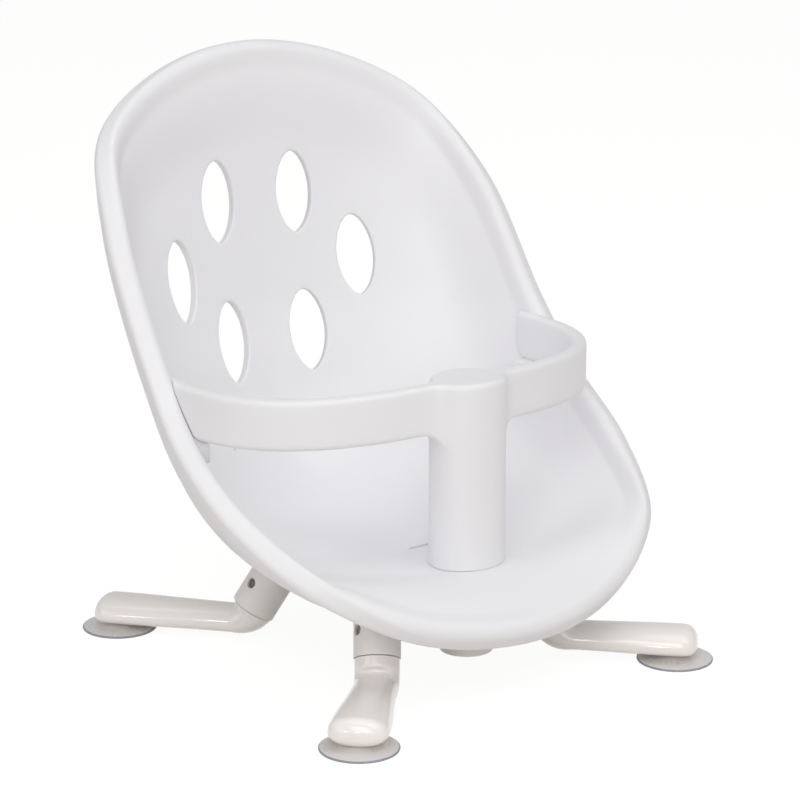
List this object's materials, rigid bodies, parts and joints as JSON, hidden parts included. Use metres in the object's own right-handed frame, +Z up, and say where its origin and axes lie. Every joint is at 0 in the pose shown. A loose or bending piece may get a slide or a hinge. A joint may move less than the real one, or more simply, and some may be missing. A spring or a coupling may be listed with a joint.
{
  "type": "baby bath seat",
  "caption": "Bucket bath seat for a sitting baby: moulded shell with leaf-shaped drain holes, lift-out waist bar on a post, and splayed clip-in legs on suction cups.",
  "frame": {"origin": "on the bath floor, under the middle of the whole seat's bounding box", "axes": "+Z up, -Y the way the child faces, +X the seated child's left"},
  "size_m": [0.329, 0.3387, 0.3815],
  "materials": {
    "shell_plastic": "smooth satin moulded polypropylene, cool white",
    "bar_plastic": "smooth satin moulded polypropylene, cool white",
    "base_plastic": "satin moulded plastic, pale warm grey",
    "leg_plastic": "polished moulded plastic, warm cream white",
    "cup_vinyl": "clear soft vinyl, blue grey, glossy",
    "button_plastic": "smooth light grey moulded plastic",
    "spring_steel": "cold rolled spring strip",
    "screw_steel": "stainless"
  },
  "bodies": {
    "seat": {"seat_shell": "shell_plastic", "seat_base": "base_plastic", "base_screw_1": "screw_steel", "base_screw_2": "screw_steel", "base_screw_3": "screw_steel", "base_screw_4": "screw_steel", "leg_front_left": "leg_plastic", "leg_front_right": "leg_plastic", "leg_rear_left": "leg_plastic", "leg_rear_right": "leg_plastic", "lock_spring_front_left": "spring_steel", "lock_spring_front_right": "spring_steel", "lock_spring_rear_left": "spring_steel", "lock_spring_rear_right": "spring_steel", "suction_cup_front_left": "cup_vinyl", "suction_cup_front_right": "cup_vinyl", "suction_cup_rear_left": "cup_vinyl", "suction_cup_rear_right": "cup_vinyl"},
    "waist_bar": {"waist_bar": "bar_plastic"},
    "waist_bar_release": {"waist_bar_release_button": "button_plastic"},
    "lock_front_left": {"lock_button_front_left": "button_plastic"},
    "lock_front_right": {"lock_button_front_right": "button_plastic"},
    "lock_rear_left": {"lock_button_rear_left": "button_plastic"},
    "lock_rear_right": {"lock_button_rear_right": "button_plastic"}
  },
  "joints": [
    {"name": "waist_bar_lift", "type": "slide", "parent": "seat", "child": "waist_bar", "axis": [0, 0, 1], "range_m": [0, 0.046]},
    {"name": "waist_bar_release_press", "type": "slide", "parent": "seat", "child": "waist_bar_release", "axis": [0, 0, 1], "range_m": [0, 0.003], "stiffness_N_per_m": 400, "springref_m": -0.002},
    {"name": "lock_front_left_press", "type": "slide", "parent": "seat", "child": "lock_front_left", "axis": [-0.9499, -0.1372, -0.2809], "range_m": [0, 0.0026], "stiffness_N_per_m": 600, "springref_m": -0.002, "deforming": ["lock_spring_front_left"]},
    {"name": "lock_front_right_press", "type": "slide", "parent": "seat", "child": "lock_front_right", "axis": [0.9499, -0.1372, -0.2809], "range_m": [0, 0.0026], "stiffness_N_per_m": 600, "springref_m": -0.002, "deforming": ["lock_spring_front_right"]},
    {"name": "lock_rear_left_press", "type": "slide", "parent": "seat", "child": "lock_rear_left", "axis": [-0.9019, 0.1395, -0.4087], "range_m": [0, 0.0026], "stiffness_N_per_m": 600, "springref_m": -0.002, "deforming": ["lock_spring_rear_left"]},
    {"name": "lock_rear_right_press", "type": "slide", "parent": "seat", "child": "lock_rear_right", "axis": [0.9019, 0.1395, -0.4087], "range_m": [0, 0.0026], "stiffness_N_per_m": 600, "springref_m": -0.002, "deforming": ["lock_spring_rear_right"]}
  ]
}
